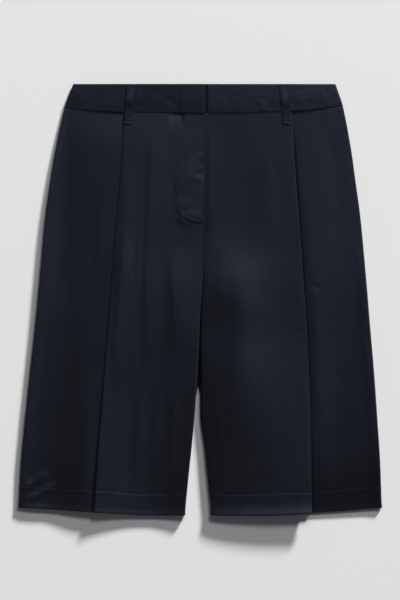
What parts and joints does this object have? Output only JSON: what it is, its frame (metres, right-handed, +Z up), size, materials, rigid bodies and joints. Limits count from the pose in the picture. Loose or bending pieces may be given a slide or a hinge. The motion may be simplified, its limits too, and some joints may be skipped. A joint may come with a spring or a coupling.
{
  "type": "bermuda shorts",
  "caption": "Knee-length tailored shorts in dark navy satin, laid flat on their back, with a fly front, a waistband with belt loops, and a long knife pleat down each leg.",
  "frame": {"origin": "on the surface that the shorts lie on, under the middle of the garment", "axes": "+X towards the wearer's left, +Y up the garment to the waistband, +Z up from the surface, the way the front faces"},
  "size_m": [0.5282, 0.626, 0.0203],
  "materials": {
    "navy_satin": "heavy satin, dark navy, a soft sheen"
  },
  "bodies": {
    "root": {"front_right": "navy_satin", "front_left": "navy_satin", "back_right": "navy_satin", "back_left": "navy_satin", "fly_shield": "navy_satin", "waistband_front_right": "navy_satin", "waistband_front_left": "navy_satin", "waistband_back": "navy_satin", "belt_loop_front_right": "navy_satin", "belt_loop_front_left": "navy_satin", "belt_loop_back_right": "navy_satin", "belt_loop_back_centre": "navy_satin", "belt_loop_back_left": "navy_satin"}
  },
  "joints": []
}
